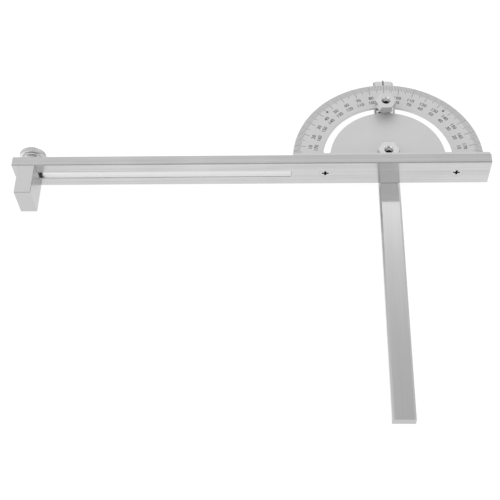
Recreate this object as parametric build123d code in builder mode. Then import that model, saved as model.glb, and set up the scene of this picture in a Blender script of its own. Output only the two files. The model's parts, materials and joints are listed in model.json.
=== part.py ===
from build123d import *
import math
import os

# Adjustable T-square: a slotted fence bar carries a half-round protractor plate, a flat arm swings
# under the plate and is clamped through an arc slot, and a stop block slides along the fence.
#
# Frame: the origin lies on the arm's underside, on its centre line, straight below the working
# face of the fence.  +X runs along the fence, +Y from the working face to the protractor, +Z up.
# All sizes are in millimetres.

# ---------------------------------------------------------------- driving dimensions
# Arm
ARM_WIDTH = 13.5
ARM_THICKNESS = 6.0
ARM_REACH = 161.5            # front end, ahead of the working face
ARM_TAIL = 67.2              # index end, behind the pivot
ARM_BEVEL_WIDTH = 1.2
ARM_BEVEL_DROP = 1.05
ARM_TIP_RADIUS = 2.0
INDEX_LINE_WIDTH = 0.9
INDEX_LINE_DEPTH = 0.4
INDEX_LINE_LENGTH = 9.0

# Fence bar
BAR_LENGTH = 300.0
BAR_RIGHT = 61.6             # from the pivot to the bar's right end
BAR_THICKNESS = 6.4
BAR_HEIGHT = 21.2
BAR_LIFT = 0.1               # gap between the arm and the bar
BAR_FRONT_EDGE = 0.5         # bevel of the upper edge of the working face
BAR_FOOT_EDGE = 0.12         # bevel of its lower edge
SLOT_HEIGHT = 5.7
SLOT_ABOVE_BAR_FOOT = 10.4   # slot centre above the bar's lower edge
SLOT_INSET = 3.8             # bar's left end to the slot
SLOT_RIGHT = -62.5           # right end of the slot
SLOT_CORNER = 0.5
SLOT_FRONT_EDGE = 0.3        # bevel round the slot's front mouth

# Protractor plate: half disc and flange, folded from one sheet
SHEET = 1.5
PLATE_GAP = 0.05             # running gap between the arm and the plate
PLATE_RADIUS = 61.4
PIVOT_Y = 19.3
FLANGE_HALF_WIDTH = 61.0
FOLD_INNER_RADIUS = 0.7
FOLD_OUTER_RADIUS = 2.2
SHEET_EDGE = 0.2
ARC_SLOT_RADIUS = 39.55
ARC_SLOT_WIDTH = 4.7
ARC_SLOT_START = 8.0         # degrees, end centre of the arc slot above the diameter

# M4 thread, shared by the flange, pivot and clamp fasteners
M4_RADIUS = 2.0
M4_HOLE_RADIUS = 2.05
M4_CLEARANCE_RADIUS = 2.2

# Flange fasteners
FLANGE_SCREW_SPREAD = 41.0   # each side of the pivot
FLANGE_HEAD_RADIUS = 3.75
FLANGE_SEAT_RADIUS = 3.9
FLANGE_HEAD_SUNK = 0.1       # head face below the working face
FLANGE_SCREW_LENGTH = 12.0
CROSS_LENGTH = 4.2
CROSS_WIDTH = 1.3
CROSS_DEPTH = 1.8
CROSS_TAPER = 9.0            # degrees
FLANGE_NUT_FLATS = 7.0
FLANGE_NUT_HEIGHT = 3.2

# Pivot and clamp
ARM_HEAD_RADIUS = 3.9
ARM_SEAT_RADIUS = 4.1
ARM_HEAD_SUNK = 0.15         # head face above the arm's underside
PIVOT_SCREW_LENGTH = 12.0
CLAMP_SCREW_LENGTH = 14.0
SOCKET_FLATS = 2.5
SOCKET_DEPTH = 1.6
HEX_FLATS = 12.0
HEX_HEIGHT = 5.0
HEX_COLLAR_RADIUS = 3.4
HEX_COLLAR_HEIGHT = 2.2
HEX_FACE_RADIUS = 6.6        # round end faces, where the conical bevels of the corners begin
HEX_BEVEL_ANGLE = 30.0       # degrees
HEX_MOUTH_RADIUS = 3.0       # wide end of the countersink in the top of each hex nut
PIVOT_NUT_TURN = 0.0         # degrees, direction of a corner
CLAMP_NUT_TURN = 3.0
WASHER_HOLE_RADIUS = 2.15
PIVOT_WASHER_RADIUS = 3.6
PIVOT_WASHER_HEIGHT = 1.0
CLAMP_WASHER_RADIUS = 3.6
CLAMP_WASHER_HEIGHT = 1.2
SPRING_WASHER_RADIUS = 3.5
SPRING_WASHER_HEIGHT = 1.5
SPRING_WASHER_GAP = 1.0
SPRING_WASHER_SLANT = 25.0   # degrees
FACE_GAP = 0.05              # between faces that turn or slide on each other

# Stop block and its fasteners, M5
STOP_INSET = 4.3             # bar's left end to the block
STOP_WIDTH = 10.5
STOP_DEPTH = 20.9
STOP_ABOVE_ARM = 0.3
STOP_EDGE = 0.3
TONGUE_DEPTH = 1.5
TONGUE_CLEARANCE = 0.1       # each side of the tongue in the slot
M5_RADIUS = 2.5
M5_HOLE_RADIUS = 2.55
STUD_IN_BLOCK = 8.0
STUD_END_SUNK = 0.5          # stud end below the outer face of the thumb nut
STUD_POINT = 0.5
STOP_WASHER_RADIUS = 6.0
STOP_WASHER_HEIGHT = 1.0
THUMB_RIM_RADIUS = 8.5
THUMB_RIM_WIDTH = 3.7
THUMB_RIM_EDGE = 0.9
THUMB_BACK_EDGE = 0.4
THUMB_COLLAR_RADIUS = 4.8
THUMB_COLLAR_LENGTH = 5.5
THUMB_MOUTH = 0.5

# ---------------------------------------------------------------- derived places
BAR_LEFT = BAR_RIGHT - BAR_LENGTH
BAR_MID_X = (BAR_LEFT + BAR_RIGHT) / 2
BAR_FOOT = ARM_THICKNESS + BAR_LIFT
BAR_TOP = BAR_FOOT + BAR_HEIGHT
SLOT_LEFT = BAR_LEFT + SLOT_INSET
SLOT_Z = BAR_FOOT + SLOT_ABOVE_BAR_FOOT
FLANGE_SCREW_Z = (BAR_FOOT + BAR_TOP) / 2

PLATE_UNDERSIDE = ARM_THICKNESS + PLATE_GAP
PLATE_TOP = PLATE_UNDERSIDE + SHEET
FLANGE_BACK = BAR_THICKNESS + SHEET
FOLD_END = FLANGE_BACK + 2 * FOLD_INNER_RADIUS
CLAMP_Y = PIVOT_Y + ARC_SLOT_RADIUS

ARM_FRONT = -ARM_REACH
ARM_END = PIVOT_Y + ARM_TAIL

HEX_CORNER_RADIUS = HEX_FLATS / math.sqrt(3)
HEX_BEVEL = (HEX_CORNER_RADIUS - HEX_FACE_RADIUS) * math.tan(math.radians(HEX_BEVEL_ANGLE))

STUD_X = BAR_LEFT + STOP_INSET + STOP_WIDTH / 2
STOP_FOOT = ARM_THICKNESS + STOP_ABOVE_ARM
THUMB_FRONT = BAR_THICKNESS + FACE_GAP + STOP_WASHER_HEIGHT + FACE_GAP
THUMB_BACK = THUMB_FRONT + THUMB_COLLAR_LENGTH + THUMB_RIM_WIDTH

RIGHT_ANGLE = 90.0


# ---------------------------------------------------------------- shared fasteners
def screw_blank(name, seat, shank_radius, head_radius, length):
    """A countersunk screw with no drive: head on the seat plane, shank along the plane's normal."""
    cone = head_radius - shank_radius
    point = shank_radius / 5
    with BuildPart() as screw:
        with BuildSketch(Plane(origin=seat.origin, x_dir=seat.x_dir, z_dir=-seat.y_dir)):
            with BuildLine():
                Polyline(
                    (0, 0),
                    (head_radius, 0),
                    (shank_radius, cone),
                    (shank_radius, length - point),
                    (shank_radius - point, length),
                    (0, length),
                    close=True,
                )
            make_face()
        revolve(axis=Axis(seat.origin, seat.z_dir))
    screw.part.label = name
    return screw.part


def cross_recess_screw(name, seat):
    """Flange screw with a cross recess in its head."""
    with BuildPart() as screw:
        add(screw_blank(name, seat, M4_RADIUS, FLANGE_HEAD_RADIUS, FLANGE_SCREW_LENGTH))
        with BuildSketch(seat):
            Rectangle(CROSS_LENGTH, CROSS_WIDTH)
            Rectangle(CROSS_WIDTH, CROSS_LENGTH)
        extrude(amount=CROSS_DEPTH, taper=CROSS_TAPER, mode=Mode.SUBTRACT)
    screw.part.label = name
    return screw.part


def socket_screw(name, seat, length):
    """Screw for the pivot or the clamp, with a hexagon socket in its head."""
    with BuildPart() as screw:
        add(screw_blank(name, seat, M4_RADIUS, ARM_HEAD_RADIUS, length))
        with BuildSketch(seat):
            RegularPolygon(SOCKET_FLATS / 2, 6, major_radius=False)
        extrude(amount=SOCKET_DEPTH, mode=Mode.SUBTRACT)
    screw.part.label = name
    return screw.part


def washer(name, seat, outer_radius, hole_radius, height):
    """A flat washer that lies on the seat plane."""
    with BuildPart() as ring:
        with BuildSketch(seat):
            Circle(outer_radius)
            Circle(hole_radius, mode=Mode.SUBTRACT)
        extrude(amount=height)
    ring.part.label = name
    return ring.part


def flange_nut(name, seat):
    """Hexagon nut behind the flange."""
    with BuildPart() as nut:
        with BuildSketch(seat):
            RegularPolygon(FLANGE_NUT_FLATS / 2, 6, major_radius=False)
            Circle(M4_RADIUS, mode=Mode.SUBTRACT)
        extrude(amount=FLANGE_NUT_HEIGHT)
    nut.part.label = name
    return nut.part


def collar_nut(name, seat, turn):
    """A hexagon hand nut with bevelled corners on a round collar; turn is the angle of one corner."""
    with BuildPart() as nut:
        with BuildSketch(seat):
            Circle(HEX_COLLAR_RADIUS)
        extrude(amount=HEX_COLLAR_HEIGHT)
        with BuildSketch(seat.offset(HEX_COLLAR_HEIGHT)):
            RegularPolygon(HEX_FLATS / 2, 6, major_radius=False, rotation=turn)
        extrude(amount=HEX_HEIGHT)
        with BuildSketch(Plane(origin=seat.origin, x_dir=seat.x_dir, z_dir=-seat.y_dir)):
            with BuildLine():
                Polyline(
                    (0, 0),
                    (HEX_FACE_RADIUS, 0),
                    (HEX_FACE_RADIUS, HEX_COLLAR_HEIGHT),
                    (HEX_CORNER_RADIUS, HEX_COLLAR_HEIGHT + HEX_BEVEL),
                    (HEX_CORNER_RADIUS, HEX_COLLAR_HEIGHT + HEX_HEIGHT - HEX_BEVEL),
                    (HEX_FACE_RADIUS, HEX_COLLAR_HEIGHT + HEX_HEIGHT),
                    (0, HEX_COLLAR_HEIGHT + HEX_HEIGHT),
                    close=True,
                )
            make_face()
        revolve(axis=Axis(seat.origin, seat.z_dir), mode=Mode.INTERSECT)
        with Locations(seat.offset(HEX_COLLAR_HEIGHT + HEX_HEIGHT)):
            CounterSinkHole(M4_HOLE_RADIUS, HEX_MOUTH_RADIUS, counter_sink_angle=RIGHT_ANGLE)
    nut.part.label = name
    return nut.part


# ---------------------------------------------------------------- fence
screw_seats = {
    side: Plane(origin=(x, FLANGE_HEAD_SUNK, FLANGE_SCREW_Z), x_dir=(1, 0, 0), z_dir=(0, 1, 0))
    for side, x in (("left", -FLANGE_SCREW_SPREAD), ("right", FLANGE_SCREW_SPREAD))
}

with BuildPart() as fence_bar:
    with BuildSketch(Plane.XZ):
        with Locations((BAR_MID_X, (BAR_FOOT + BAR_TOP) / 2)):
            Rectangle(BAR_LENGTH, BAR_HEIGHT)
        with Locations(((SLOT_LEFT + SLOT_RIGHT) / 2, SLOT_Z)):
            RectangleRounded(SLOT_RIGHT - SLOT_LEFT, SLOT_HEIGHT, SLOT_CORNER, mode=Mode.SUBTRACT)
    extrude(amount=-BAR_THICKNESS)
    long_edges = fence_bar.edges().filter_by(Axis.X).filter_by(lambda edge: edge.length > BAR_LENGTH - 1)
    foot_edge, front_edge = long_edges.group_by(Axis.Y)[0].sort_by(Axis.Z)
    chamfer(foot_edge, BAR_FOOT_EDGE)
    chamfer(front_edge, BAR_FRONT_EDGE)
    slot_mouth = fence_bar.faces().filter_by(Axis.Y).sort_by(Axis.Y)[0].inner_wires()[0].edges()
    chamfer(slot_mouth, SLOT_FRONT_EDGE)
    with Locations(*[
        Plane(origin=(seat.origin.X, 0, FLANGE_SCREW_Z), x_dir=(1, 0, 0), z_dir=(0, -1, 0))
        for seat in screw_seats.values()
    ]):
        CounterSinkHole(M4_CLEARANCE_RADIUS, FLANGE_SEAT_RADIUS, counter_sink_angle=RIGHT_ANGLE)
fence_bar.part.label = "fence_bar"

with BuildPart() as protractor_plate:
    with BuildSketch(Plane.XY.offset(PLATE_UNDERSIDE)):
        with BuildLine():
            ThreePointArc(
                (PLATE_RADIUS, PIVOT_Y),
                (0, PIVOT_Y + PLATE_RADIUS),
                (-PLATE_RADIUS, PIVOT_Y),
            )
            Polyline(
                (-PLATE_RADIUS, PIVOT_Y),
                (-FLANGE_HALF_WIDTH, FOLD_END),
                (FLANGE_HALF_WIDTH, FOLD_END),
                (PLATE_RADIUS, PIVOT_Y),
            )
        make_face()
        with Locations((0, PIVOT_Y)):
            Circle(M4_HOLE_RADIUS, mode=Mode.SUBTRACT)
        slot_path = CenterArc(
            (0, PIVOT_Y), ARC_SLOT_RADIUS, ARC_SLOT_START, 180 - 2 * ARC_SLOT_START, mode=Mode.PRIVATE
        )
        SlotArc(slot_path, ARC_SLOT_WIDTH, mode=Mode.SUBTRACT)
    extrude(amount=SHEET)
    top_arcs = protractor_plate.edges().filter_by(GeomType.CIRCLE).group_by(Axis.Z)[-1]
    chamfer(top_arcs.filter_by(lambda edge: edge.radius > ARC_SLOT_RADIUS / 2), SHEET_EDGE)
    with BuildSketch(Plane.YZ) as fold:
        with BuildLine():
            Polyline(
                (BAR_THICKNESS, BAR_TOP),
                (BAR_THICKNESS, PLATE_UNDERSIDE),
                (FOLD_END, PLATE_UNDERSIDE),
                (FOLD_END, PLATE_TOP),
                (FLANGE_BACK, PLATE_TOP),
                (FLANGE_BACK, BAR_TOP),
                close=True,
            )
        make_face()
        fillet(fold.vertices().sort_by_distance((BAR_THICKNESS, PLATE_UNDERSIDE))[0], FOLD_OUTER_RADIUS)
        fillet(fold.vertices().sort_by_distance((FLANGE_BACK, PLATE_TOP))[0], FOLD_INNER_RADIUS)
    extrude(amount=FLANGE_HALF_WIDTH, both=True)
    with Locations(*[seat.offset(FLANGE_BACK) for seat in screw_seats.values()]):
        Hole(M4_CLEARANCE_RADIUS, depth=2 * SHEET)
protractor_plate.part.label = "protractor_plate"

flange_screws = [cross_recess_screw(f"flange_screw_{side}", seat) for side, seat in screw_seats.items()]
flange_nuts = [
    flange_nut(f"flange_nut_{side}", seat.offset(FLANGE_BACK - FLANGE_HEAD_SUNK))
    for side, seat in screw_seats.items()
]

# ---------------------------------------------------------------- arm, pivot and clamp
with BuildPart() as slider_arm:
    with BuildSketch(Plane.XY):
        with Locations((0, (ARM_FRONT + ARM_END) / 2)):
            arm_outline = Rectangle(ARM_WIDTH, ARM_END - ARM_FRONT)
        fillet(arm_outline.vertices().group_by(Axis.Y)[-1], ARM_TIP_RADIUS)
    extrude(amount=ARM_THICKNESS)
    top_edges = slider_arm.edges().group_by(Axis.Z)[-1]
    arm_top = slider_arm.faces().sort_by(Axis.Z)[-1]
    chamfer(top_edges.filter_by(Axis.Y), ARM_BEVEL_WIDTH, ARM_BEVEL_DROP, reference=arm_top)
    with Locations(*[Plane(origin=(0, y, 0), z_dir=(0, 0, -1)) for y in (PIVOT_Y, CLAMP_Y)]):
        CounterSinkHole(M4_HOLE_RADIUS, ARM_SEAT_RADIUS, counter_sink_angle=RIGHT_ANGLE)
    with BuildSketch(Plane.XY.offset(ARM_THICKNESS)):
        with Locations((0, ARM_END - INDEX_LINE_LENGTH / 2)):
            Rectangle(INDEX_LINE_WIDTH, INDEX_LINE_LENGTH)
    extrude(amount=-INDEX_LINE_DEPTH, mode=Mode.SUBTRACT)
slider_arm.part.label = "slider_arm"

pivot_seat = Plane(origin=(0, PIVOT_Y, 0))
clamp_seat = Plane(origin=(0, CLAMP_Y, 0))
washer_foot = PLATE_TOP + FACE_GAP

pivot_screw = socket_screw("pivot_screw", pivot_seat.offset(ARM_HEAD_SUNK), PIVOT_SCREW_LENGTH)
clamp_screw = socket_screw("clamp_screw", clamp_seat.offset(ARM_HEAD_SUNK), CLAMP_SCREW_LENGTH)

pivot_washer = washer(
    "pivot_washer", pivot_seat.offset(washer_foot), PIVOT_WASHER_RADIUS, WASHER_HOLE_RADIUS,
    PIVOT_WASHER_HEIGHT,
)
clamp_washer = washer(
    "clamp_washer", clamp_seat.offset(washer_foot), CLAMP_WASHER_RADIUS, WASHER_HOLE_RADIUS,
    CLAMP_WASHER_HEIGHT,
)

spring_washer_foot = washer_foot + CLAMP_WASHER_HEIGHT
with BuildPart() as clamp_spring_washer:
    with BuildSketch(clamp_seat.offset(spring_washer_foot)):
        Circle(SPRING_WASHER_RADIUS)
        Circle(WASHER_HOLE_RADIUS, mode=Mode.SUBTRACT)
    extrude(amount=SPRING_WASHER_HEIGHT)
    slant = math.radians(SPRING_WASHER_SLANT)
    gap_z = spring_washer_foot + SPRING_WASHER_HEIGHT / 2
    gap_centre = ((SPRING_WASHER_RADIUS + M4_RADIUS) / 2, CLAMP_Y, gap_z)
    with BuildSketch(Plane(origin=gap_centre, x_dir=(1, 0, 0), z_dir=(0, math.sin(slant), math.cos(slant)))):
        Rectangle(SPRING_WASHER_RADIUS, SPRING_WASHER_GAP)
    extrude(amount=2 * SPRING_WASHER_HEIGHT, both=True, mode=Mode.SUBTRACT)
clamp_spring_washer.part.label = "clamp_spring_washer"

pivot_nut_foot = washer_foot + PIVOT_WASHER_HEIGHT + FACE_GAP
clamp_nut_foot = spring_washer_foot + SPRING_WASHER_HEIGHT + FACE_GAP
pivot_nut = collar_nut("pivot_nut", pivot_seat.offset(pivot_nut_foot), PIVOT_NUT_TURN)
clamp_nut = collar_nut("clamp_nut", clamp_seat.offset(clamp_nut_foot), CLAMP_NUT_TURN)

# ---------------------------------------------------------------- stop
stud_axis = Plane(origin=(STUD_X, 0, SLOT_Z), x_dir=(1, 0, 0), z_dir=(0, 1, 0))

with BuildPart() as stop_block:
    with BuildSketch(Plane.XZ.offset(FACE_GAP)):
        with Locations((STUD_X, (STOP_FOOT + BAR_TOP) / 2)):
            Rectangle(STOP_WIDTH, BAR_TOP - STOP_FOOT)
    extrude(amount=STOP_DEPTH - FACE_GAP)
    chamfer(stop_block.edges(), STOP_EDGE)
    with BuildSketch(Plane.XZ.offset(FACE_GAP)):
        with Locations((STUD_X, SLOT_Z)):
            Rectangle(STOP_WIDTH - 2 * STOP_EDGE, SLOT_HEIGHT - 2 * TONGUE_CLEARANCE)
    extrude(amount=-TONGUE_DEPTH)
    with BuildSketch(stud_axis.offset(TONGUE_DEPTH)):
        Circle(M5_RADIUS)
    extrude(amount=-(STUD_IN_BLOCK + TONGUE_DEPTH), mode=Mode.SUBTRACT)
stop_block.part.label = "stop_block"

with BuildPart() as stop_stud:
    with BuildSketch(stud_axis.offset(-STUD_IN_BLOCK)):
        Circle(M5_RADIUS)
    extrude(amount=STUD_IN_BLOCK + THUMB_BACK - STUD_END_SUNK)
    chamfer(stop_stud.faces().sort_by(Axis.Y)[-1].edges(), STUD_POINT)
stop_stud.part.label = "stop_stud"

stop_washer = washer(
    "stop_washer", stud_axis.offset(BAR_THICKNESS + FACE_GAP), STOP_WASHER_RADIUS, M5_HOLE_RADIUS,
    STOP_WASHER_HEIGHT,
)

rim_front = THUMB_FRONT + THUMB_COLLAR_LENGTH
with BuildPart() as thumb_nut:
    with BuildSketch(Plane(origin=(STUD_X, 0, SLOT_Z))):
        with BuildLine():
            Polyline(
                (M5_HOLE_RADIUS + THUMB_MOUTH, THUMB_FRONT),
                (THUMB_COLLAR_RADIUS, THUMB_FRONT),
                (THUMB_COLLAR_RADIUS, rim_front),
                (THUMB_RIM_RADIUS - THUMB_RIM_EDGE, rim_front),
                (THUMB_RIM_RADIUS, rim_front + THUMB_RIM_EDGE),
                (THUMB_RIM_RADIUS, THUMB_BACK - THUMB_BACK_EDGE),
                (THUMB_RIM_RADIUS - THUMB_BACK_EDGE, THUMB_BACK),
                (M5_HOLE_RADIUS + THUMB_MOUTH, THUMB_BACK),
                (M5_HOLE_RADIUS, THUMB_BACK - THUMB_MOUTH),
                (M5_HOLE_RADIUS, THUMB_FRONT + THUMB_MOUTH),
                close=True,
            )
        make_face()
    revolve(axis=Axis((STUD_X, 0, SLOT_Z), (0, 1, 0)))
thumb_nut.part.label = "thumb_nut"

# ---------------------------------------------------------------- one STEP for each piece
pieces = [
    fence_bar.part,
    protractor_plate.part,
    *flange_screws,
    *flange_nuts,
    slider_arm.part,
    pivot_screw,
    pivot_washer,
    pivot_nut,
    clamp_screw,
    clamp_washer,
    clamp_spring_washer.part,
    clamp_nut,
    stop_block.part,
    stop_stud.part,
    stop_washer,
    thumb_nut.part,
]
os.makedirs("parts", exist_ok=True)
for piece in pieces:
    export_step(piece, f"parts/{piece.label}.step")
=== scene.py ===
import json
import math

import bmesh
import bpy
from mathutils import Matrix, Vector


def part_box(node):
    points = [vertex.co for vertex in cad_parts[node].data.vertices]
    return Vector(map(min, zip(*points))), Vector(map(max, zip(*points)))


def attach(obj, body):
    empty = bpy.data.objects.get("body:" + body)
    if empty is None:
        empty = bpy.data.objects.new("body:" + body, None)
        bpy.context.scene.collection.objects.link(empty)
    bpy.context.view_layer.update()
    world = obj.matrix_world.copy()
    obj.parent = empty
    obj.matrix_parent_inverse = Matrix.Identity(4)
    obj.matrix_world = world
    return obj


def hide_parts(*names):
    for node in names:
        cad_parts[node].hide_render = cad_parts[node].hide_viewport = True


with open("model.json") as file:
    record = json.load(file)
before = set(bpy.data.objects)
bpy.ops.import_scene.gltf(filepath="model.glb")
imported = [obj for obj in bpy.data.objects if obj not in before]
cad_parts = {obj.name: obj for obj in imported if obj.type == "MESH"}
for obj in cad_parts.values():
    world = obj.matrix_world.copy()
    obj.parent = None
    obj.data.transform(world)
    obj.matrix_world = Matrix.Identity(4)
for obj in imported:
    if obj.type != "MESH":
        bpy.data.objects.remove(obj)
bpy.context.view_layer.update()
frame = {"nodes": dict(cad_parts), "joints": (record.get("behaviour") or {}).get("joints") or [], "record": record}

# Looks of an adjustable T-square in brushed metal.  Metres, in the CAD frame: the origin is on the
# arm's underside below the fence's working face, +X along the fence, +Y to the protractor, +Z up.
MM = 0.001

# ---------------------------------------------------------------- places taken from the frame
JOINTS = {joint["name"]: joint for joint in frame["joints"]}
PIVOT = Vector(JOINTS["arm_swing"]["pos_m"])
CLAMP = Vector(JOINTS["clamp_nut_turn"]["pos_m"])
THUMB = Vector(JOINTS["thumb_nut_turn"]["pos_m"])
PLATE_LOW, PLATE_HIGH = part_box("protractor_plate")
BAR_LOW, BAR_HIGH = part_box("fence_bar")
ARM_LOW, ARM_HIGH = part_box("slider_arm")
STOP_LOW, STOP_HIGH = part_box("stop_block")
THUMB_LOW, THUMB_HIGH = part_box("thumb_nut")
SLOT_LOW, SLOT_HIGH = frame["record"]["physics"]["openings"][0]["box_m"]
FACE_GAP = 0.05 * MM
PLATE_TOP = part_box("pivot_washer")[0].z - FACE_GAP
PLATE_RADIUS = (PLATE_HIGH.x - PLATE_LOW.x) / 2


# ---------------------------------------------------------------- node helpers
def new_material(name):
    """An empty node material and its shader."""
    material = bpy.data.materials.new(name)
    material.use_nodes = True
    shader = material.node_tree.nodes["Principled BSDF"]
    return material, material.node_tree, shader


def object_point(tree):
    """The point's place in the object, which is the CAD frame at rest."""
    return tree.nodes.new("ShaderNodeTexCoord").outputs["Object"]


def stretched_noise(tree, scale, detail=4.0, roughness=0.6):
    """A noise in object coordinates, with its own scale along each axis, in features per metre."""
    mapping = tree.nodes.new("ShaderNodeMapping")
    mapping.inputs["Scale"].default_value = scale
    noise = tree.nodes.new("ShaderNodeTexNoise")
    noise.inputs["Scale"].default_value = 1.0
    noise.inputs["Detail"].default_value = detail
    noise.inputs["Roughness"].default_value = roughness
    tree.links.new(object_point(tree), mapping.inputs["Vector"])
    tree.links.new(mapping.outputs["Vector"], noise.inputs["Vector"])
    return noise.outputs["Fac"]


def ring_noise(tree, centre, axis, scale, detail=3.0):
    """A noise that only depends on the distance from an axis through centre."""
    offset = tree.nodes.new("ShaderNodeVectorMath")
    offset.operation = "SUBTRACT"
    offset.inputs[1].default_value = centre
    flatten = tree.nodes.new("ShaderNodeVectorMath")
    flatten.operation = "MULTIPLY"
    flatten.inputs[1].default_value = [0.0 if part else 1.0 for part in axis]
    length = tree.nodes.new("ShaderNodeVectorMath")
    length.operation = "LENGTH"
    noise = tree.nodes.new("ShaderNodeTexNoise")
    noise.noise_dimensions = "1D"
    noise.inputs["Scale"].default_value = scale
    noise.inputs["Detail"].default_value = detail
    tree.links.new(object_point(tree), offset.inputs[0])
    tree.links.new(offset.outputs["Vector"], flatten.inputs[0])
    tree.links.new(flatten.outputs["Vector"], length.inputs[0])
    tree.links.new(length.outputs["Value"], noise.inputs["W"])
    return noise.outputs["Fac"]


def math_node(tree, operation, first, second=None):
    """The result of a math node; each input is a socket or a number."""
    node = tree.nodes.new("ShaderNodeMath")
    node.operation = operation
    for socket, value in zip(node.inputs, (first, second)):
        if isinstance(value, (int, float)):
            socket.default_value = value
        elif value:
            tree.links.new(value, socket)
    return node.outputs["Value"]


def ramp(tree, source, low, high, start=0.3, end=0.7):
    """Maps source values from start..end to values between low and high."""
    mapped = tree.nodes.new("ShaderNodeMapRange")
    mapped.inputs["From Min"].default_value = start
    mapped.inputs["From Max"].default_value = end
    mapped.inputs["To Min"].default_value = low
    mapped.inputs["To Max"].default_value = high
    tree.links.new(source, mapped.inputs["Value"])
    return mapped.outputs["Result"]


def mixed(tree, first, second, share):
    """first and second mixed; share is how much of second."""
    mix = tree.nodes.new("ShaderNodeMix")
    mix.data_type = "FLOAT"
    mix.inputs["Factor"].default_value = share
    tree.links.new(first, mix.inputs["A"])
    tree.links.new(second, mix.inputs["B"])
    return mix.outputs["Result"]


def product(tree, first, second):
    """first times second."""
    return math_node(tree, "MULTIPLY", first, second)


def towards(tree, value, goal, mask):
    """value where mask is 0, the constant goal where mask is 1."""
    mix = tree.nodes.new("ShaderNodeMix")
    mix.data_type = "FLOAT"
    mix.inputs["B"].default_value = goal
    tree.links.new(mask, mix.inputs["Factor"])
    tree.links.new(value, mix.inputs["A"])
    return mix.outputs["Result"]


MASK_EDGE = 0.05 * MM


def inside(tree, ranges):
    """1 where the point lies in all the ranges (axis, low, high), 0 elsewhere."""
    parts = tree.nodes.new("ShaderNodeSeparateXYZ")
    tree.links.new(object_point(tree), parts.inputs["Vector"])
    mask = None
    for axis, low, high in ranges:
        above = ramp(tree, parts.outputs[axis], 0.0, 1.0, low - MASK_EDGE, low + MASK_EDGE)
        below = ramp(tree, parts.outputs[axis], 1.0, 0.0, high - MASK_EDGE, high + MASK_EDGE)
        both = product(tree, above, below)
        mask = product(tree, mask, both) if mask else both
    return mask


def patched(tree, value, patches):
    """value with another one in each of patches (goal, ranges)."""
    for goal, ranges in patches:
        value = towards(tree, value, goal, inside(tree, ranges))
    return value


def grey(tree, value):
    """A colour socket made from a grey value."""
    colour = tree.nodes.new("ShaderNodeCombineColor")
    for channel in ("Red", "Green", "Blue"):
        tree.links.new(value, colour.inputs[channel])
    return colour.outputs["Color"]


RELIEF_DEPTH = 0.02 * MM


def relief(tree, shader, height, strength):
    """Fine surface relief from a height between 0 and 1."""
    bump = tree.nodes.new("ShaderNodeBump")
    bump.inputs["Strength"].default_value = strength
    bump.inputs["Distance"].default_value = RELIEF_DEPTH
    tree.links.new(height, bump.inputs["Height"])
    tree.links.new(bump.outputs["Normal"], shader.inputs["Normal"])


GRAIN_TURN = 0.25


def grain_tangent(tree, shader, axis):
    """Turns the shader's anisotropy along a grain direction of the object."""
    direction = tree.nodes.new("ShaderNodeCombineXYZ")
    for name, value in zip("XYZ", axis):
        direction.inputs[name].default_value = value
    to_world = tree.nodes.new("ShaderNodeVectorTransform")
    to_world.vector_type = "VECTOR"
    to_world.convert_from = "OBJECT"
    to_world.convert_to = "WORLD"
    tree.links.new(direction.outputs["Vector"], to_world.inputs["Vector"])
    tree.links.new(to_world.outputs["Vector"], shader.inputs["Tangent"])
    shader.inputs["Anisotropic Rotation"].default_value = GRAIN_TURN


# ---------------------------------------------------------------- metals and inks
# Noise scales in features per metre; a grain has one along it and one across it.
FINE_GRAIN = (14.0, 2400.0)
BROAD_GRAIN = (4.0, 420.0)
BRUSHED_CLOUDS = 22.0
SATIN_GRAIN = 2200.0
SATIN_CLOUDS = 35.0
TURNED_RINGS = 2600.0
TURNED_CLOUDS = 160.0
INK_PATCHES = 900.0


def grain_noise(tree, axis, grain, detail):
    """A noise that is stretched along one axis."""
    along, across = grain
    return stretched_noise(tree, [along if part else across for part in axis], detail)


def even_noise(tree, scale, detail):
    """A noise with the same scale along each axis."""
    return stretched_noise(tree, (scale, scale, scale), detail)


# In the three metals below, each of patches (tone, ranges) is a zone whose base tone is painted light and shade.
def brushed(name, axis, tone, roughness, anisotropy, streak=0.04, bump=0.12, patches=()):
    """Brushed aluminium with its grain along one axis."""
    material, tree, shader = new_material(name)
    fine = grain_noise(tree, axis, FINE_GRAIN, detail=4.0)
    broad = grain_noise(tree, axis, BROAD_GRAIN, detail=2.0)
    cloud = even_noise(tree, BRUSHED_CLOUDS, detail=3.0)
    streaks = mixed(tree, fine, broad, 0.45)
    value = ramp(tree, mixed(tree, streaks, cloud, 0.2), tone - streak, tone + streak)
    tree.links.new(grey(tree, patched(tree, value, patches)), shader.inputs["Base Color"])
    tree.links.new(ramp(tree, streaks, roughness * 0.85, roughness * 1.15), shader.inputs["Roughness"])
    shader.inputs["Metallic"].default_value = 1.0
    shader.inputs["Anisotropic"].default_value = anisotropy
    grain_tangent(tree, shader, axis)
    relief(tree, shader, streaks, bump)
    return material


def satin(name, tone, roughness, speckle=0.02, patches=(), metallic=1.0):
    """Satin metal with a fine, even grain and faint clouds."""
    material, tree, shader = new_material(name)
    fine = even_noise(tree, SATIN_GRAIN, detail=3.0)
    cloud = even_noise(tree, SATIN_CLOUDS, detail=4.0)
    value = mixed(tree, fine, cloud, 0.6)
    colour = patched(tree, ramp(tree, value, tone - speckle, tone + speckle), patches)
    tree.links.new(grey(tree, colour), shader.inputs["Base Color"])
    tree.links.new(ramp(tree, value, roughness * 0.9, roughness * 1.1), shader.inputs["Roughness"])
    shader.inputs["Metallic"].default_value = metallic
    relief(tree, shader, fine, 0.05)
    return material


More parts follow.
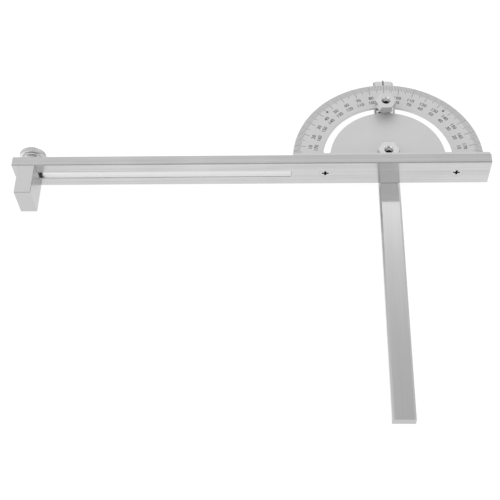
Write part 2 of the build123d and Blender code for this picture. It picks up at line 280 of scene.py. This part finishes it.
def turned(name, centre, axis, tone, roughness, spread=0.05, patches=()):
    """Turned metal with fine rings round an axis."""
    material, tree, shader = new_material(name)
    rings = ring_noise(tree, centre, axis, TURNED_RINGS)
    cloud = even_noise(tree, TURNED_CLOUDS, detail=3.0)
    value = mixed(tree, rings, cloud, 0.35)
    colour = patched(tree, ramp(tree, value, tone - spread, tone + spread), patches)
    tree.links.new(grey(tree, colour), shader.inputs["Base Color"])
    tree.links.new(ramp(tree, rings, roughness * 0.8, roughness * 1.2), shader.inputs["Roughness"])
    shader.inputs["Metallic"].default_value = 1.0
    relief(tree, shader, rings, 0.12)
    return material


def etched_ink(name, tone):
    """Dull dark marks that vary a little in strength."""
    material, tree, shader = new_material(name)
    patchy = even_noise(tree, INK_PATCHES, detail=2.0)
    tree.links.new(grey(tree, ramp(tree, patchy, tone * 0.7, tone * 1.3)), shader.inputs["Base Color"])
    shader.inputs["Roughness"].default_value = 0.6
    return material


X_AXIS = (1, 0, 0)
Y_AXIS = (0, 1, 0)
Z_AXIS = (0, 0, 1)

# Zones of painted highlight and painted shade, as ranges (axis, low, high) at rest.  The tones are tuned to
# how light or dark the photograph is there, under the light below.  They aren't known finishes.
MARGIN = 0.2 * MM            # past the edge of a piece, so that the zone takes in the whole edge
SLOT_START = 5.0 * MM        # bar's left end to the painted highlight on the slot walls
SLOT_REACH = 0.6 * MM        # painted highlight on the walls past the stated opening
# Painted highlight: the slot walls are painted much lighter than the rest of the bar.
SLOT_WALLS_PAINTED_HIGHLIGHT = (
    ("X", BAR_LOW.x + SLOT_START, SLOT_HIGH[0] + SLOT_REACH),
    ("Y", BAR_LOW.y + 0.3 * MM, BAR_HIGH.y - 0.15 * MM),
    ("Z", SLOT_LOW[2] - MARGIN, SLOT_HIGH[2] + MARGIN),
)
# Painted shade: the flange screws' cross recesses are painted near black.
CROSS_RECESS_PAINTED_SHADE = (("Y", BAR_LOW.y + 0.4 * MM, BAR_LOW.y + 2.2 * MM),)
# Painted shade: the arm's front end face is painted darker than the rest of the arm.
ARM_FRONT_END_PAINTED_SHADE = (("Y", ARM_LOW.y - MARGIN, ARM_LOW.y + 0.1 * MM),)
# Painted shade: the thumb nut's rim is painted darker than its front.
THUMB_RIM_PAINTED_SHADE = (("Y", THUMB_LOW.y + 6.0 * MM, THUMB_HIGH.y - MARGIN),)
# Painted shade: the stop block's sides are painted darker than its top.
STOP_SIDES_PAINTED_SHADE = (("Z", STOP_LOW.z - MARGIN, STOP_HIGH.z - 0.1 * MM),)
NUT_EDGE = 0.5 * MM          # from the top face to where the painted shade on the sides begins
ARM_EDGE = 1.3 * MM          # width of the painted shade along each long edge of the arm
ARC_SLOT_REACH = 5.0 * MM    # of the arc slot and a little more, each side of the clamp


def nut_sides(nut):
    """Painted shade on a hand nut below its top face."""
    low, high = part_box(nut)
    return (("Z", low.z - MARGIN, high.z - NUT_EDGE),)


def arm_edge_in_slot(low, high):
    """A strip of painted shade on the arm where it shows through the arc slot."""
    return (("X", low, high), ("Y", CLAMP.y - ARC_SLOT_REACH, CLAMP.y + ARC_SLOT_REACH))


FENCE_METAL = brushed(
    "fence_metal", X_AXIS, tone=0.59, roughness=0.20, anisotropy=0.85, streak=0.13,
    # painted highlight on the slot walls
    patches=((0.89, SLOT_WALLS_PAINTED_HIGHLIGHT),),
)
ARM_METAL = brushed(
    "arm_metal", Y_AXIS, tone=0.71, roughness=0.13, anisotropy=0.85,
    patches=(
        # painted shade on the arm's front end
        (0.50, ARM_FRONT_END_PAINTED_SHADE),
        # painted shade along both long edges of the arm where they show through the arc slot
        (0.45, arm_edge_in_slot(ARM_LOW.x - MARGIN, ARM_LOW.x + ARM_EDGE)),
        (0.45, arm_edge_in_slot(ARM_HIGH.x - ARM_EDGE, ARM_HIGH.x + MARGIN)),
    ),
)
STOP_METAL = brushed(
    "stop_metal", Y_AXIS, tone=0.63, roughness=0.26, anisotropy=0.5, streak=0.03, bump=0.06,
    # painted shade on the stop block's sides
    patches=((0.545, STOP_SIDES_PAINTED_SHADE),),
)
PLATE_METAL = satin("plate_metal", tone=0.65, roughness=0.46, speckle=0.03, metallic=0.4)
# The hand nuts' sides are painted darker than their tops: painted shade.
PIVOT_NUT_METAL = turned(
    "pivot_nut_metal", PIVOT, Z_AXIS, tone=0.72, roughness=0.14, patches=((0.55, nut_sides("pivot_nut")),)
)
CLAMP_NUT_METAL = turned(
    "clamp_nut_metal", CLAMP, Z_AXIS, tone=0.70, roughness=0.14, patches=((0.55, nut_sides("clamp_nut")),)
)
# painted shade on the thumb nut's rim
THUMB_METAL = turned(
    "thumb_nut_metal", THUMB, Y_AXIS, tone=0.84, roughness=0.26, patches=((0.68, THUMB_RIM_PAINTED_SHADE),)
)
# painted shade in the screw heads' cross recesses
FLANGE_SCREW_METAL = satin("flange_screw_metal", tone=0.60, roughness=0.26, patches=((0.03, CROSS_RECESS_PAINTED_SHADE),))
SCREW_METAL = satin("screw_metal", tone=0.60, roughness=0.30)
# Painted shade: the pivot and clamp screws are painted near black, as the shade in the hand nuts' bores.
BORE_SHADE_SCREW_METAL = satin("dark_screw_metal", tone=0.10, roughness=0.35, speckle=0.01)
THREAD_METAL = satin("thread_metal", tone=0.50, roughness=0.25)
INK = etched_ink("etched_ink", tone=0.10)

NODE_METALS = {
    "fence_bar": FENCE_METAL,
    "protractor_plate": PLATE_METAL,
    "flange_screw_left": FLANGE_SCREW_METAL,
    "flange_screw_right": FLANGE_SCREW_METAL,
    "flange_nut_left": SCREW_METAL,
    "flange_nut_right": SCREW_METAL,
    "slider_arm": ARM_METAL,
    # the pivot and clamp screws carry painted shade
    "pivot_screw": BORE_SHADE_SCREW_METAL,
    "pivot_washer": SCREW_METAL,
    "pivot_nut": PIVOT_NUT_METAL,
    "clamp_screw": BORE_SHADE_SCREW_METAL,
    "clamp_washer": SCREW_METAL,
    "clamp_spring_washer": SCREW_METAL,
    "clamp_nut": CLAMP_NUT_METAL,
    "stop_block": STOP_METAL,
    "stop_stud": SCREW_METAL,
    "stop_washer": SCREW_METAL,
    "thumb_nut": THUMB_METAL,
}
for node, metal in NODE_METALS.items():
    for slot in frame["nodes"][node].material_slots:
        slot.material = metal


# ---------------------------------------------------------------- mesh helpers
def finished(name, builder, material, body, smooth_below=None):
    """Makes an object from a bmesh and sets what it rides on."""
    mesh = bpy.data.meshes.new(name)
    bmesh.ops.recalc_face_normals(builder, faces=builder.faces)
    builder.to_mesh(mesh)
    builder.free()
    if smooth_below:
        mesh.shade_smooth()
        mesh.set_sharp_from_angle(angle=math.radians(smooth_below))
    piece = bpy.data.objects.new(name, mesh)
    bpy.context.scene.collection.objects.link(piece)
    mesh.materials.append(material)
    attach(piece, body)
    return piece


def join_rings(builder, rings, closed=False):
    """Quads between each ring of points and the next; closed also joins the last to the first."""
    pairs = list(zip(rings, rings[1:]))
    if closed:
        pairs.append((rings[-1], rings[0]))
    for first, second in pairs:
        for index in range(len(first)):
            following = (index + 1) % len(first)
            builder.faces.new((first[index], first[following], second[following], second[index]))


def add_prism(builder, outline, foot, height):
    """Adds a thin closed solid that stands on a flat outline."""
    rings = [[builder.verts.new((point.x, point.y, z)) for point in outline] for z in (foot, foot + height)]
    join_rings(builder, rings)
    builder.faces.new(rings[0])
    builder.faces.new(rings[1])


def add_slab(builder, centre, along, length, width, foot, height):
    """Adds a thin closed box that lies flat, long side in the unit direction along."""
    across = Vector((-along.y, along.x, 0.0))
    signs = ((-1, -1), (1, -1), (1, 1), (-1, 1))
    outline = [centre + along * length / 2 * i + across * width / 2 * j for i, j in signs]
    add_prism(builder, outline, foot, height)


def add_disc(builder, centre, radius, foot, height, sides=24):
    """Adds a thin closed disc that lies flat."""
    turns = [2 * math.pi * index / sides for index in range(sides)]
    outline = [centre + Vector((math.cos(turn), math.sin(turn), 0.0)) * radius for turn in turns]
    add_prism(builder, outline, foot, height)


# ---------------------------------------------------------------- etched scale
INK_SUNK = 0.01 * MM
INK_PROUD = 0.012 * MM
INK_HEIGHT = INK_SUNK + INK_PROUD
TICK_MARGIN = 0.4 * MM
TICKS = {1: (4.2 * MM, 0.20 * MM), 5: (5.8 * MM, 0.24 * MM), 10: (7.4 * MM, 0.28 * MM)}
NUMBER_ROWS = ((50.6 * MM, 1), (46.7 * MM, -1))
NUMBER_SIZE = 3.4 * MM
NUMBER_BOLDNESS = 0.07 * MM
NUMBER_STEP = 10
NUMBER_MERGE = 0.001 * MM
MARKER_RADIUS = 0.8 * MM
MARKER_CIRCLE = 54.2 * MM


def direction_at(degrees):
    """Unit vector in the plate, counted from +X towards +Y."""
    angle = math.radians(degrees)
    return Vector((math.cos(angle), math.sin(angle), 0.0))


def scale_ticks():
    """One line for each degree, longer for each five and ten."""
    builder = bmesh.new()
    for degree in range(0, 181):
        length, width = TICKS[10 if degree % 10 == 0 else 5 if degree % 5 == 0 else 1]
        along = direction_at(degree)
        centre = PIVOT + along * (PLATE_RADIUS - TICK_MARGIN - length / 2)
        add_slab(builder, centre, along, length, width, PLATE_TOP - INK_SUNK, INK_HEIGHT)
    return finished("scale_ticks", builder, INK, "fence")


def scale_markers():
    """A dot at 45 degrees on each side."""
    builder = bmesh.new()
    for degree in (45, 135):
        centre = PIVOT + direction_at(degree) * MARKER_CIRCLE
        add_disc(builder, centre, MARKER_RADIUS, PLATE_TOP - INK_SUNK, INK_HEIGHT)
    return finished("scale_markers", builder, INK, "fence")


def number_mesh(text):
    """The mesh of a short number, centred on the origin and thickened into a closed solid."""
    curve = bpy.data.curves.new("number", "FONT")
    curve.body = text
    curve.size = NUMBER_SIZE
    curve.align_x = "CENTER"
    curve.align_y = "CENTER"
    curve.offset = NUMBER_BOLDNESS
    curve.extrude = INK_HEIGHT / 2
    curve.resolution_u = 3
    holder = bpy.data.objects.new("number", curve)
    mesh = bpy.data.meshes.new_from_object(holder)
    bpy.data.objects.remove(holder)
    bpy.data.curves.remove(curve)
    return mesh


def scale_numbers():
    """Two rows of numbers that count from both ends, upright as seen from outside the arc."""
    builder = bmesh.new()
    for degree in range(NUMBER_STEP, 180, NUMBER_STEP):
        for radius, sense in NUMBER_ROWS:
            mesh = number_mesh(str(degree if sense < 0 else 180 - degree))
            place = PIVOT + direction_at(degree) * radius
            place.z = PLATE_TOP + (INK_PROUD - INK_SUNK) / 2
            mesh.transform(Matrix.Translation(place) @ Matrix.Rotation(math.radians(degree - 90), 4, "Z"))
            builder.from_mesh(mesh)
            bpy.data.meshes.remove(mesh)
    bmesh.ops.remove_doubles(builder, verts=builder.verts, dist=NUMBER_MERGE)
    return finished("scale_numbers", builder, INK, "fence")


INDEX_PAINT_WIDTH = 0.8 * MM
INDEX_PAINT_LENGTH = 8.8 * MM
INDEX_PAINT_INSET = 0.05 * MM
INDEX_GROOVE_DEPTH = 0.4 * MM
INDEX_PAINT_DEPTH = 0.3 * MM


def index_line_paint():
    """Dark paint in the index groove at the arm's end."""
    builder = bmesh.new()
    middle = Vector((0.0, ARM_HIGH.y - INDEX_PAINT_LENGTH / 2 - INDEX_PAINT_INSET, 0.0))
    along = Vector(Y_AXIS)
    foot = ARM_HIGH.z - INDEX_GROOVE_DEPTH
    add_slab(builder, middle, along, INDEX_PAINT_LENGTH, INDEX_PAINT_WIDTH, foot, INDEX_PAINT_DEPTH)
    return finished("index_line_paint", builder, INK, "arm")


scale_ticks()
scale_markers()
scale_numbers()
index_line_paint()

# ---------------------------------------------------------------- threads in the hand nuts
THREAD_PITCH = 0.7 * MM
THREAD_START = 0.5 * MM
THREAD_ROOT = 2.15 * MM
THREAD_CREST = 1.72 * MM
THREAD_HALF_WIDTH = 0.34 * MM
THREAD_STEPS = 36
THREAD_FADE_STEPS = 12       # over which each end of the thread runs out
THREAD_END_SHARE = 0.1       # of the thread's depth that is left at its very end
NUT_MOUTH_DEPTH = 1.1 * MM


def nut_thread(nut, screw, axis_point):
    """The thread that shows in a hand nut's mouth, above the screw's end."""
    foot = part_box(screw)[1].z + THREAD_START
    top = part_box(nut)[1].z - NUT_MOUTH_DEPTH
    count = int((top - foot) / THREAD_PITCH * THREAD_STEPS)
    builder = bmesh.new()
    rings = []
    for index in range(count + 1):
        turn = 2 * math.pi * index / THREAD_STEPS
        middle = Vector((axis_point.x, axis_point.y, foot + THREAD_PITCH * index / THREAD_STEPS))
        outward = Vector((math.cos(turn), math.sin(turn), 0.0))
        rise = Vector((0.0, 0.0, THREAD_HALF_WIDTH))
        from_end = min(index, count - index)
        fade = min(1.0, THREAD_END_SHARE + from_end / THREAD_FADE_STEPS)
        crest = THREAD_ROOT + (THREAD_CREST - THREAD_ROOT) * fade
        root = middle + outward * THREAD_ROOT
        points = (root - rise, middle + outward * crest, root + rise)
        rings.append([builder.verts.new(point) for point in points])
    join_rings(builder, rings)
    builder.faces.new(rings[0])
    builder.faces.new(rings[-1])
    finished(f"{nut}_thread", builder, THREAD_METAL, nut, smooth_below=50)


nut_thread("pivot_nut", "pivot_screw", PIVOT)
nut_thread("clamp_nut", "clamp_screw", CLAMP)

# ---------------------------------------------------------------- knurled thumb nut
KNURL_TEETH = 44
KNURL_STEPS = 4
KNURL_DEPTH = 0.32
# Half section in millimetres: radius, distance from the collar's front end, and how much of the
# knurl's depth the point has.
THUMB_SECTION = (
    (3.05, 0.0, 0), (4.5, 0.0, 0), (4.8, 0.3, 0), (4.8, 4.9, 0), (4.9, 5.25, 0), (5.2, 5.48, 0),
    (5.5, 5.5, 0), (5.9, 5.5, 0), (6.1, 5.8, 0), (6.6, 5.8, 0), (6.8, 5.5, 0), (7.3, 5.5, 0),
    (7.6, 5.55, 0), (8.2, 6.05, 0.2), (8.45, 6.35, 0.8), (8.5, 6.5, 1), (8.5, 8.7, 1), (8.4, 8.9, 0.6),
    (8.1, 9.15, 0), (7.6, 9.2, 0), (7.2, 9.2, 0), (7.0, 8.95, 0), (4.7, 8.95, 0), (4.5, 9.2, 0),
    (3.05, 9.2, 0), (2.55, 8.7, 0), (2.55, 0.5, 0),
)


def knurled_thumb_nut():
    """The thumb nut with a straight knurl, bevelled rim and ringed faces."""
    builder = bmesh.new()
    steps = KNURL_TEETH * KNURL_STEPS
    rings = []
    for radius, along, share in THUMB_SECTION:
        ring = []
        for index in range(steps):
            turn = 2 * math.pi * index / steps
            valley = (1 - math.cos(2 * math.pi * index / KNURL_STEPS)) / 2
            reach = (radius - KNURL_DEPTH * share * valley) * MM
            across = THUMB.x + reach * math.cos(turn)
            height = THUMB.z + reach * math.sin(turn)
            ring.append(builder.verts.new((across, THUMB_LOW.y + along * MM, height)))
        rings.append(ring)
    join_rings(builder, rings, closed=True)
    nut = finished("knurled_thumb_nut", builder, THUMB_METAL, "thumb_nut", smooth_below=35)
    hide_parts("thumb_nut")


knurled_thumb_nut()

# ---------------------------------------------------------------- stage
FLOOR_SIZE = 6.0
FLOOR_GLOW = 0.92
FLOOR_TONE = 0.14
FLOOR_DROP = 0.01 * MM


def make_floor():
    """A plain pale floor under the arm, lit through like a light table and clear from below."""
    mesh = bpy.data.meshes.new("floor")
    half = FLOOR_SIZE / 2
    corners = [(x, y, -FLOOR_DROP) for x, y in ((-half, -half), (half, -half), (half, half), (-half, half))]
    mesh.from_pydata(corners, [], [(0, 1, 2, 3)])
    floor = bpy.data.objects.new("floor", mesh)
    bpy.context.scene.collection.objects.link(floor)
    material, tree, shader = new_material("floor_paper")
    shader.inputs["Base Color"].default_value = (FLOOR_TONE, FLOOR_TONE, FLOOR_TONE, 1.0)
    shader.inputs["Roughness"].default_value = 0.9
    shader.inputs["Specular IOR Level"].default_value = 0.0
    shader.inputs["Emission Color"].default_value = (1.0, 1.0, 1.0, 1.0)
    shader.inputs["Emission Strength"].default_value = FLOOR_GLOW
    geometry = tree.nodes.new("ShaderNodeNewGeometry")
    clear = tree.nodes.new("ShaderNodeBsdfTransparent")
    sides = tree.nodes.new("ShaderNodeMixShader")
    tree.links.new(geometry.outputs["Backfacing"], sides.inputs["Fac"])
    tree.links.new(shader.outputs["BSDF"], sides.inputs[1])
    tree.links.new(clear.outputs["BSDF"], sides.inputs[2])
    tree.links.new(sides.outputs["Shader"], tree.nodes["Material Output"].inputs["Surface"])
    mesh.materials.append(material)


# Brightness of the studio round the part, by the angle from the horizon behind it, over the top
# and down to the horizon in front, in parts of a half turn.  The bands are tuned so that the metals
# reflect about what they do in the photograph.
SKY = (
    (0.000, 0.42),
    (0.120, 0.55),
    (0.220, 0.78),
    (0.270, 0.88),
    (0.292, 0.94),
    (0.306, 1.04),
    (0.313, 0.88),
    (0.321, 0.77),
    (0.332, 0.69),
    (0.345, 0.61),
    (0.370, 0.56),
    (0.500, 0.48),
    (0.630, 0.62),
    (0.665, 1.06),
    (0.745, 1.06),
    (0.785, 0.31),
    (0.860, 0.31),
    (1.000, 0.80),
)
# The dark strip in front is short: where its top, its foot and its two ends fade out.
STRIP_TOP = (0.745, 0.765)
STRIP_FOOT = (0.860, 0.880)
STRIP_END = (0.30, 0.36)
BESIDE_STRIP = 1.0
# The studio is a little brighter on the left.
LEFT_BRIGHTNESS = 1.15
RIGHT_BRIGHTNESS = 0.90
SLOPE_REACH = 0.50
BACKDROP = 1.0


def banded(tree, share, bands):
    """Brightness at share, read from (place, brightness) pairs."""
    node = tree.nodes.new("ShaderNodeValToRGB")
    elements = node.color_ramp.elements
    while len(elements) < len(bands):
        elements.new(0.5)
    for element, (place, value) in zip(elements, bands):
        element.position = place
        element.color = (value, value, value, 1.0)
    tree.links.new(share, node.inputs["Fac"])
    return node.outputs["Color"]


def make_world():
    """Studio light in bands, darker overhead and in a strip in front, and a plain white backdrop."""
    world = bpy.data.worlds.new("studio")
    bpy.context.scene.world = world
    world.use_nodes = True
    tree = world.node_tree
    direction = tree.nodes.new("ShaderNodeSeparateXYZ")
    tree.links.new(tree.nodes.new("ShaderNodeTexCoord").outputs["Generated"], direction.inputs["Vector"])
    angle = math_node(tree, "ARCTAN2", direction.outputs["Z"], direction.outputs["Y"])
    share = math_node(tree, "DIVIDE", angle, math.pi)
    beside = ramp(tree, math_node(tree, "ABSOLUTE", direction.outputs["X"]), 0.0, 1.0, *STRIP_END)
    after_top = ramp(tree, share, 0.0, 1.0, *STRIP_TOP)
    before_foot = ramp(tree, share, 1.0, 0.0, *STRIP_FOOT)
    past_strip = product(tree, beside, product(tree, after_top, before_foot))
    sky = towards(tree, banded(tree, share, SKY), BESIDE_STRIP, past_strip)
    slope = ramp(
        tree, direction.outputs["X"], LEFT_BRIGHTNESS, RIGHT_BRIGHTNESS, -SLOPE_REACH, SLOPE_REACH
    )
    rays = tree.nodes.new("ShaderNodeLightPath")
    light = towards(tree, product(tree, sky, slope), BACKDROP, rays.outputs["Is Camera Ray"])
    background = tree.nodes["Background"]
    tree.links.new(light, background.inputs["Color"])
    background.inputs["Strength"].default_value = 1.0


OVERHEAD_PLACE = Vector((-0.2, 0.1, 1.4))
OVERHEAD_TARGET = Vector((-0.05, 0.0, 0.0))
OVERHEAD_SIZE = 1.6
OVERHEAD_POWER = 9.0


def make_overhead_light():
    """A soft square light above the part, which doesn't show in reflections."""
    data = bpy.data.lights.new("overhead", "AREA")
    data.size = OVERHEAD_SIZE
    data.energy = OVERHEAD_POWER
    light = bpy.data.objects.new("overhead", data)
    light.location = OVERHEAD_PLACE
    light.rotation_euler = (OVERHEAD_TARGET - OVERHEAD_PLACE).to_track_quat("-Z", "Y").to_euler()
    light.visible_glossy = False
    bpy.context.scene.collection.objects.link(light)


CAMERA_PLACE = Vector((-0.06044, -0.38729, 0.53642))
CAMERA_AZIMUTH = math.radians(-4.644)
CAMERA_ELEVATION = math.radians(57.477)
CAMERA_ROLL = math.radians(-4.118)
CAMERA_LENS = 73.746


def make_camera():
    """The camera at the photograph's angle."""
    data = bpy.data.cameras.new("camera")
    data.lens = CAMERA_LENS
    data.clip_start = 0.01
    camera = bpy.data.objects.new("camera", data)
    bpy.context.scene.collection.objects.link(camera)
    ahead = Vector((
        math.sin(CAMERA_AZIMUTH) * math.cos(CAMERA_ELEVATION),
        math.cos(CAMERA_AZIMUTH) * math.cos(CAMERA_ELEVATION),
        -math.sin(CAMERA_ELEVATION),
    ))
    level_right = ahead.cross(Vector((0, 0, 1))).normalized()
    level_up = level_right.cross(ahead)
    right = level_right * math.cos(CAMERA_ROLL) + level_up * math.sin(CAMERA_ROLL)
    up = level_up * math.cos(CAMERA_ROLL) - level_right * math.sin(CAMERA_ROLL)
    turn = Matrix((right, up, -ahead)).transposed()
    camera.matrix_world = Matrix.Translation(CAMERA_PLACE) @ turn.to_4x4()
    bpy.context.scene.camera = camera


make_floor()
make_world()
make_overhead_light()
make_camera()
bpy.context.scene.view_settings.view_transform = "Standard"
